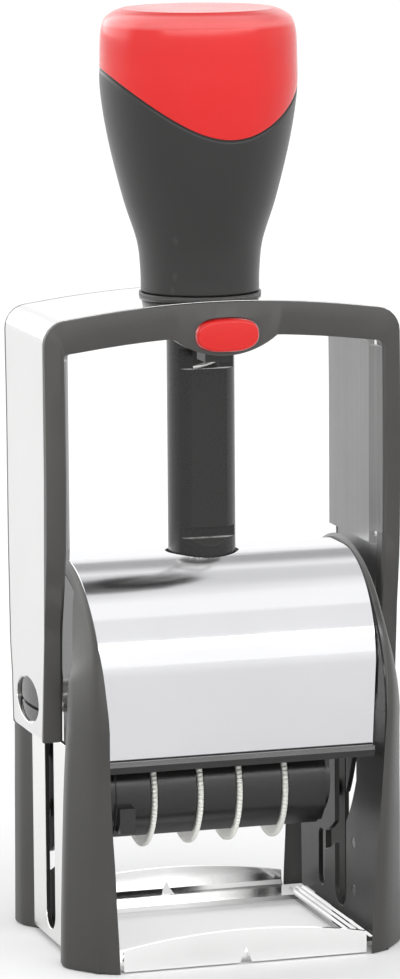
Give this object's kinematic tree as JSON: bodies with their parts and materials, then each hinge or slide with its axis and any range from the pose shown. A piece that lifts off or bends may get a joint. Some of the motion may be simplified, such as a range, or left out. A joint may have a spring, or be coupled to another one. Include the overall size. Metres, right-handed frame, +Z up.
{
  "type": "date stamp",
  "caption": "Upright self-inking date stamp: a sprung handle and yoke press down, turn the date carriage over from the pad, and stamp through the base window.",
  "frame": {"origin": "middle of the underside, on the surface that the feet stand on", "axes": "+Z up along the guide column, +X to the user's right, the user and the lock button at -Y"},
  "size_m": [0.0736, 0.0626, 0.1875],
  "materials": {
    "chrome_tray": "bright, pressed",
    "black_cheek": "satin moulded, glossy inside",
    "chrome_side": "bright",
    "steel_small": "turned",
    "black_hood": "satin moulded",
    "chrome_cover": "bright, polished",
    "black_inner": "satin moulded",
    "black_column": "semi gloss",
    "chrome_band": "bright, polished",
    "satin_steel": "brushed lengthwise",
    "black_trim": "satin moulded",
    "steel_inner": "turned",
    "grey_bush": "machined",
    "black_handle": "satin moulded",
    "red_cap": "semi gloss moulded",
    "spring_steel": "drawn wire",
    "black_axle_end": "fine grained",
    "red_button": "semi gloss moulded",
    "dark_steel": "dark lacquer",
    "black_drum": "satin moulded",
    "band_rubber": "matt",
    "satin_plate": "satin",
    "die_rubber": "matt",
    "white_wheel": "moulded, toothed rim",
    "pad_felt": "inked felt"
  },
  "bodies": {
    "root": {"base_tray": "chrome_tray", "cheek_left": "black_cheek", "cheek_right": "black_cheek", "cam_plate_left": "black_cheek", "cam_plate_right": "black_cheek", "side_plate_left": "chrome_side", "side_plate_right": "chrome_side", "frame_rivets": "steel_small", "tie_rods": "steel_small", "hood": "black_hood", "cover": "chrome_cover", "pad_carrier": "black_inner", "guide_column": "black_column", "column_nut": "steel_small"},
    "yoke": {"yoke_band": "chrome_band", "inner_stirrup": "satin_steel", "front_trim": "black_trim", "rear_trim": "black_trim", "collar": "black_trim", "handle_tube": "steel_inner", "guide_bush": "grey_bush", "handle": "black_handle", "cap": "red_cap", "top_plug": "steel_inner", "return_spring": "spring_steel", "axle": "steel_inner", "axle_end_left": "black_axle_end", "axle_end_right": "black_axle_end"},
    "button": {"lock_button": "red_button", "lock_tongue": "dark_steel", "button_spring": "spring_steel"},
    "carriage": {"carriage_frame": "dark_steel", "cam_pins": "steel_small", "drum_housing": "black_drum", "wheel_shaft": "steel_inner", "type_bar": "dark_steel", "day_band": "band_rubber", "month_band": "band_rubber", "decade_band": "band_rubber", "year_band": "band_rubber", "text_plate": "satin_plate", "text_die": "die_rubber"},
    "day_wheel": {"day_wheel": "white_wheel"},
    "month_wheel": {"month_wheel": "white_wheel"},
    "decade_wheel": {"decade_wheel": "white_wheel"},
    "year_wheel": {"year_wheel": "white_wheel"},
    "pad": {"pad_tray": "black_inner", "ink_pad": "pad_felt"}
  },
  "joints": [
    {"name": "handle_press", "type": "slide", "parent": "root", "child": "yoke", "axis": [0, 0, -1], "range_m": [0, 0.036], "stiffness_N_per_m": 450, "springref_m": -0.03, "deforming": ["return_spring"]},
    {"name": "carriage_turn", "type": "hinge", "parent": "yoke", "child": "carriage", "pos_m": [0, 0, 0.0507], "axis": [1, 0, 0], "range_deg": [0, 180]},
    {"name": "lock_press", "type": "slide", "parent": "yoke", "child": "button", "axis": [0, 1, 0], "range_m": [0, 0.002], "stiffness_N_per_m": 300, "springref_m": -0.002},
    {"name": "day_turn", "type": "hinge", "parent": "carriage", "child": "day_wheel", "pos_m": [-0.0137, 0, 0.0312], "axis": [1, 0, 0], "continuous": true},
    {"name": "month_turn", "type": "hinge", "parent": "carriage", "child": "month_wheel", "pos_m": [-0.0041, 0, 0.0312], "axis": [1, 0, 0], "continuous": true},
    {"name": "decade_turn", "type": "hinge", "parent": "carriage", "child": "decade_wheel", "pos_m": [0.0041, 0, 0.0312], "axis": [1, 0, 0], "continuous": true},
    {"name": "year_turn", "type": "hinge", "parent": "carriage", "child": "year_wheel", "pos_m": [0.0137, 0, 0.0312], "axis": [1, 0, 0], "continuous": true},
    {"name": "pad_pull", "type": "slide", "parent": "root", "child": "pad", "axis": [0, 1, 0], "range_m": [0, 0.034]}
  ],
  "couplings": [
    {"joint": "carriage_turn", "follows": "handle_press", "rad_per_m": 87.266}
  ]
}
